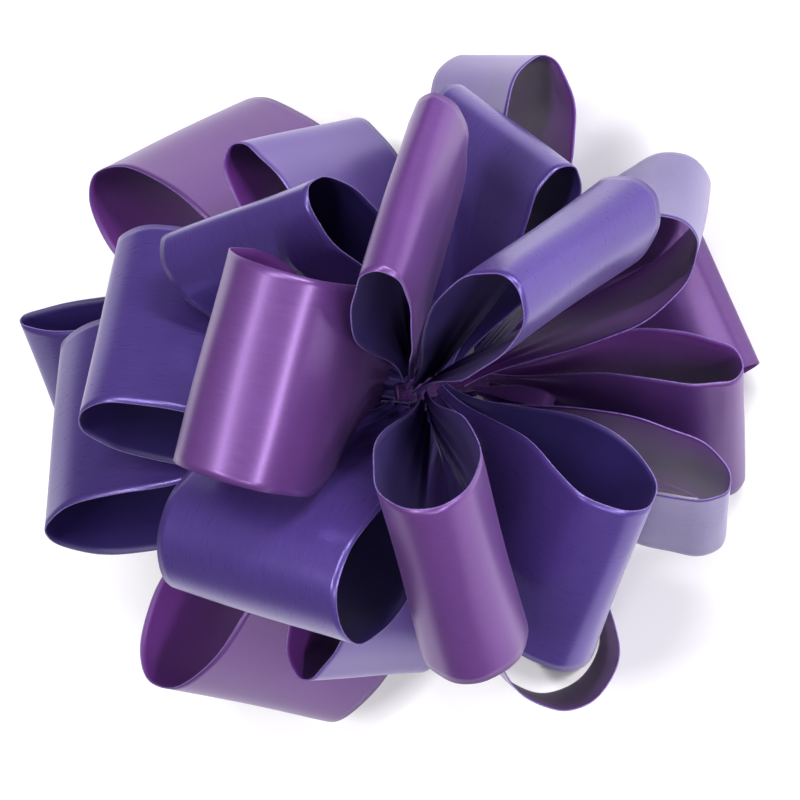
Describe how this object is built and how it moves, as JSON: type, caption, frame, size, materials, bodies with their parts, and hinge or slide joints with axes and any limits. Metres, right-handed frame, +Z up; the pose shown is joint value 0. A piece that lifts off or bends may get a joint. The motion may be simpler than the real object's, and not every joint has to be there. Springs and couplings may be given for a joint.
{
  "type": "gift bow",
  "caption": "Round gift bow of wide satin ribbon loops fanned out in mirrored pairs round a narrow tie, on an adhesive card.",
  "frame": {"origin": "centre of the release liner's underside", "axes": "+Z up out of the bow, -Y towards its front, where the two crown loops part"},
  "size_m": [0.1132, 0.1419, 0.1079],
  "materials": {
    "ribbon_violet": "blue-violet satin, glossy across the ribbon, with fine streaks along it",
    "ribbon_plum": "reddish plum satin, glossy across the ribbon, with fine streaks along it",
    "tie": "narrow satin ribbon",
    "card": "white paper board, matte",
    "foam": "white closed-cell foam, matte",
    "liner": "silicone-coated kraft paper, satin"
  },
  "bodies": {
    "bow": {"foam_pad": "foam", "backing_card": "card", "ribbon_foot": "ribbon_plum", "tie_ribbon": "tie", "tie_end": "tie", "loop_low_back_right": "ribbon_plum", "loop_low_back_left": "ribbon_plum", "loop_side_back_right": "ribbon_plum", "loop_side_back_left": "ribbon_plum", "loop_back_low": "ribbon_violet", "loop_back_middle": "ribbon_violet", "loop_back_upper": "ribbon_violet", "loop_upper_side_right": "ribbon_plum", "loop_upper_side_left": "ribbon_plum", "loop_side_right": "ribbon_violet", "loop_side_left": "ribbon_violet", "loop_middle_front_left": "ribbon_violet", "loop_front_right": "ribbon_violet", "loop_front_left": "ribbon_violet", "loop_low_front_right": "ribbon_plum", "loop_low_front_left": "ribbon_plum", "loop_crown_back": "ribbon_plum"},
    "release_liner": {"release_liner": "liner"},
    "loop_crown_front": {"loop_crown_front": "ribbon_violet"},
    "loop_upper_back_left": {"loop_upper_back_left": "ribbon_violet"},
    "loop_middle_front_right": {"loop_middle_front_right": "ribbon_violet"},
    "loop_upper_back_right": {"loop_upper_back_right": "ribbon_violet"}
  },
  "joints": [
    {"name": "liner_peel", "type": "slide", "parent": "bow", "child": "release_liner", "axis": [0, 0, -1], "range_m": [0, 0.02]},
    {"name": "crown_front_fluff", "type": "hinge", "parent": "bow", "child": "loop_crown_front", "pos_m": [0.00104, -0.00479, 0.056], "axis": [0.3467, -0.3517, -0.8695], "range_deg": [0, 18]},
    {"name": "upper_back_left_fluff", "type": "hinge", "parent": "bow", "child": "loop_upper_back_left", "pos_m": [-0.003, 0.00239, 0.05], "axis": [-0.3653, -0.9217, 0.1308], "range_deg": [0, 14]},
    {"name": "middle_front_right_fluff", "type": "hinge", "parent": "bow", "child": "loop_middle_front_right", "pos_m": [0.00354, -0.00147, 0.043], "axis": [0.4597, 0.7244, -0.5138], "range_deg": [-9, 0]},
    {"name": "upper_back_right_fluff", "type": "hinge", "parent": "bow", "child": "loop_upper_back_right", "pos_m": [0.00363, 0.00122, 0.0465], "axis": [-0.1431, 0.9385, -0.3141], "range_deg": [0, 4]}
  ]
}
